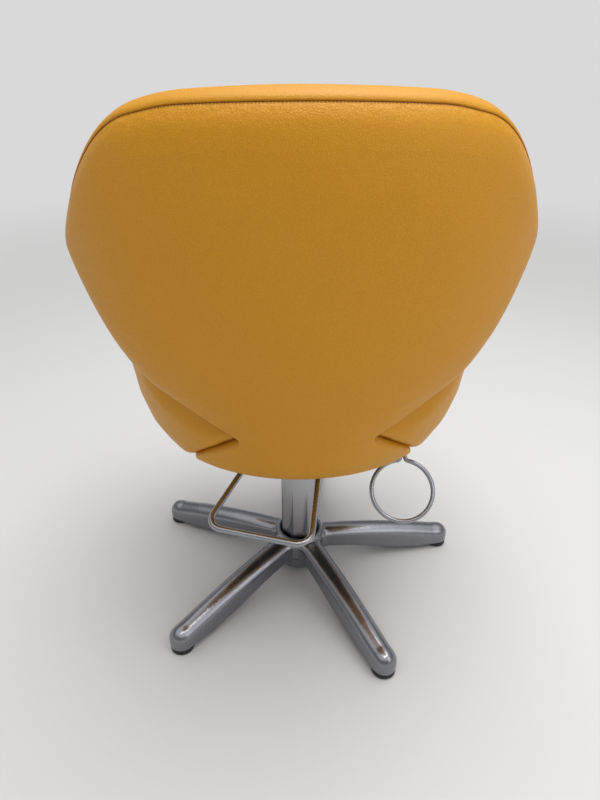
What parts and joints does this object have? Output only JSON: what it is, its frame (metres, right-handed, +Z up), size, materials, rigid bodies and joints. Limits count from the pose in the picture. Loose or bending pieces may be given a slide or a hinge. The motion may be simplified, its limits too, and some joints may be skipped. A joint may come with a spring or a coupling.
{
  "type": "salon styling chair",
  "caption": "Hydraulic salon chair: padded shield back with wings, tub sides and cushion on a swivelling pump column, with a stirrup pedal, a ring lever and a cast star base.",
  "frame": {"origin": "on the floor under the column's axis, at the middle of the glides' circle", "axes": "+Z up along the column; the sitter faces -Y, so +Y is the chair's rear and +X the sitter's left"},
  "size_m": [0.6165, 0.6212, 0.8648],
  "materials": {
    "vinyl": "satin leather-grain vinyl",
    "polished_aluminium": "polished casting",
    "chrome": "bright plated rod",
    "steel": "zinc plated",
    "black_plastic": "moulded matt",
    "plywood": "bare"
  },
  "bodies": {
    "base": {"base_star": "polished_aluminium", "foot_glide_1": "black_plastic", "foot_glide_2": "black_plastic", "foot_glide_3": "black_plastic", "foot_glide_4": "black_plastic", "foot_glide_5": "black_plastic", "base_tie_bolt": "steel", "column_sleeve": "polished_aluminium", "pump_cylinder": "steel", "column_cap": "black_plastic", "pump_head": "steel"},
    "pedal": {"pedal_shaft": "steel", "pedal_collar_left": "steel", "pedal_collar_right": "steel", "pedal_cam": "steel", "pedal_stirrup": "chrome"},
    "plunger": {"pump_plunger": "steel"},
    "lock_lever": {"lock_pin": "steel", "lock_hub": "steel", "lock_ring": "chrome"},
    "ram": {"lift_ram": "steel", "thrust_washer": "black_plastic"},
    "seat": {"swivel_socket": "steel", "mount_plate": "steel", "mount_bolt_1": "steel", "mount_bolt_2": "steel", "mount_bolt_3": "steel", "mount_bolt_4": "steel", "seat_board": "plywood", "bottom_cover": "black_plastic", "front_rail": "vinyl", "arm_left": "vinyl", "arm_right": "vinyl", "seat_cushion": "vinyl", "back_rear_pad": "vinyl", "back_frame": "plywood", "back_strap_left": "steel", "back_strap_right": "steel", "back_front_pad": "vinyl"}
  },
  "joints": [
    {"name": "pedal_press", "type": "hinge", "parent": "base", "child": "pedal", "pos_m": [0.01256, 0.03798, 0.3135], "axis": [-0.9494, 0.314, 0], "range_deg": [0, 22], "stiffness_Nm_per_rad": 6, "springref_deg": -20.05},
    {"name": "plunger_push", "type": "slide", "parent": "base", "child": "plunger", "axis": [0, 0, -1], "range_m": [0, 0.008]},
    {"name": "lock_swing", "type": "hinge", "parent": "base", "child": "lock_lever", "pos_m": [-0.05143, 0.0309, 0.307], "axis": [-0.515, -0.8572, 0], "range_deg": [0, 12]},
    {"name": "lift", "type": "slide", "parent": "base", "child": "ram", "axis": [0, 0, 1], "range_m": [0, 0.14]},
    {"name": "swivel", "type": "hinge", "parent": "ram", "child": "seat", "pos_m": [0, 0, 0.33], "axis": [0, 0, 1], "continuous": true}
  ],
  "couplings": [
    {"joint": "plunger_push", "follows": "pedal_press", "m_per_rad": 0.02}
  ]
}
